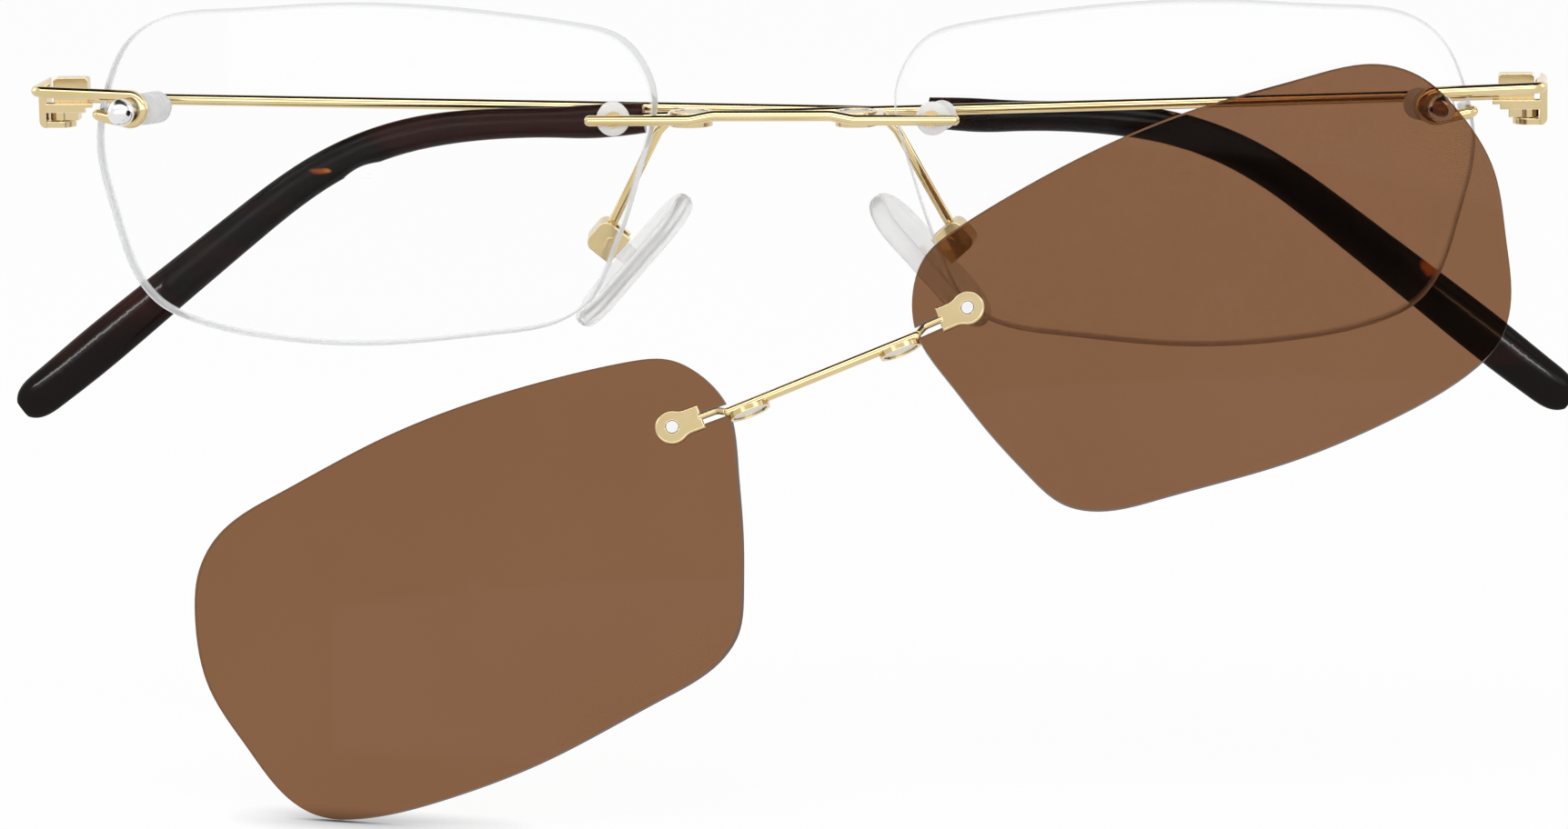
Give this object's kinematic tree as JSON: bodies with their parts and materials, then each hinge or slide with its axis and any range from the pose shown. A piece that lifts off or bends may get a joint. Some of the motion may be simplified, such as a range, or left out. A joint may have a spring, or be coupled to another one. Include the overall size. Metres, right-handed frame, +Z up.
{
  "type": "rimless eyeglasses with magnetic clip-on",
  "caption": "Folded rimless eyeglasses with a wire bridge and covered temple tips, and a tinted magnetic clip-on on a thin bar that lifts in front of them.",
  "frame": {"origin": "under the middle of the bounding box, level with the clip-on's lowest point", "axes": "+X to the viewer's right along the front, +Y back towards the temples, +Z up"},
  "size_m": [0.1402, 0.0378, 0.0687],
  "materials": {
    "pale_gold": "polished pale gold plating",
    "bright_steel": "polished",
    "clear_lens": "clear and polished",
    "clear_silicone": "clear, slightly milky",
    "brown_lens": "polished brown tint",
    "tortoiseshell": "polished dark tortoiseshell",
    "magnet": "plated"
  },
  "bodies": {
    "front": {"ball_stud_left": "bright_steel", "ball_stud_right": "bright_steel", "bridge": "pale_gold", "bridge_magnet_cup_left": "pale_gold", "bridge_magnet_cup_right": "pale_gold", "bridge_magnet_left": "magnet", "bridge_magnet_right": "magnet", "bridge_sleeve_left": "clear_silicone", "bridge_sleeve_right": "clear_silicone", "bridge_washer_left": "clear_silicone", "bridge_washer_right": "clear_silicone", "clear_lens_left": "clear_lens", "clear_lens_right": "clear_lens", "end_sleeve_left": "clear_silicone", "end_sleeve_right": "clear_silicone", "end_wire_left": "pale_gold", "end_wire_right": "pale_gold", "hinge_bracket_left": "pale_gold", "hinge_bracket_right": "pale_gold", "hinge_screw_left": "pale_gold", "hinge_screw_right": "pale_gold", "pad_arm_left": "pale_gold", "pad_arm_right": "pale_gold", "pad_box_left": "pale_gold", "pad_box_right": "pale_gold", "pad_screw_left": "pale_gold", "pad_screw_right": "pale_gold"},
    "left_temple": {"temple_butt_left": "pale_gold", "temple_wire_left": "pale_gold", "temple_tip_left": "tortoiseshell"},
    "right_temple": {"temple_butt_right": "pale_gold", "temple_wire_right": "pale_gold", "temple_tip_right": "tortoiseshell"},
    "clip_on": {"clip_bar": "pale_gold", "clip_magnet_cup_left": "pale_gold", "clip_magnet_cup_right": "pale_gold", "clip_magnet_left": "magnet", "clip_magnet_right": "magnet", "clip_nut_left": "pale_gold", "clip_nut_right": "pale_gold", "clip_plate_left": "pale_gold", "clip_plate_right": "pale_gold", "clip_screw_left": "bright_steel", "clip_screw_right": "bright_steel", "tinted_lens_left": "brown_lens", "tinted_lens_right": "brown_lens"},
    "left_pad": {"nose_pad_left": "clear_silicone"},
    "right_pad": {"nose_pad_right": "clear_silicone"}
  },
  "joints": [
    {"name": "left_temple_hinge", "type": "hinge", "parent": "front", "child": "left_temple", "pos_m": [-0.06571, 0.01498, 0.05866], "axis": [0, 0, 1], "range_deg": [0, 89.5]},
    {"name": "right_temple_hinge", "type": "hinge", "parent": "front", "child": "right_temple", "pos_m": [0.06571, 0.01498, 0.05866], "axis": [0, 0, -1], "range_deg": [0, 92]},
    {"name": "clip_lift", "type": "hinge", "parent": "front", "child": "clip_on", "pos_m": [0.06511, 0.00318, 0.06126], "axis": [0.65, 0.7555, -0.0817], "range_deg": [0, 29.38]},
    {"name": "left_pad_rock", "type": "hinge", "parent": "front", "child": "left_pad", "pos_m": [-0.0152, 0.0088, 0.04699], "axis": [-0.1042, 0.9903, 0.0922], "range_deg": [-8, 8]},
    {"name": "right_pad_rock", "type": "hinge", "parent": "front", "child": "right_pad", "pos_m": [0.0152, 0.0088, 0.04699], "axis": [0.1042, 0.9903, 0.0922], "range_deg": [-8, 8]}
  ]
}
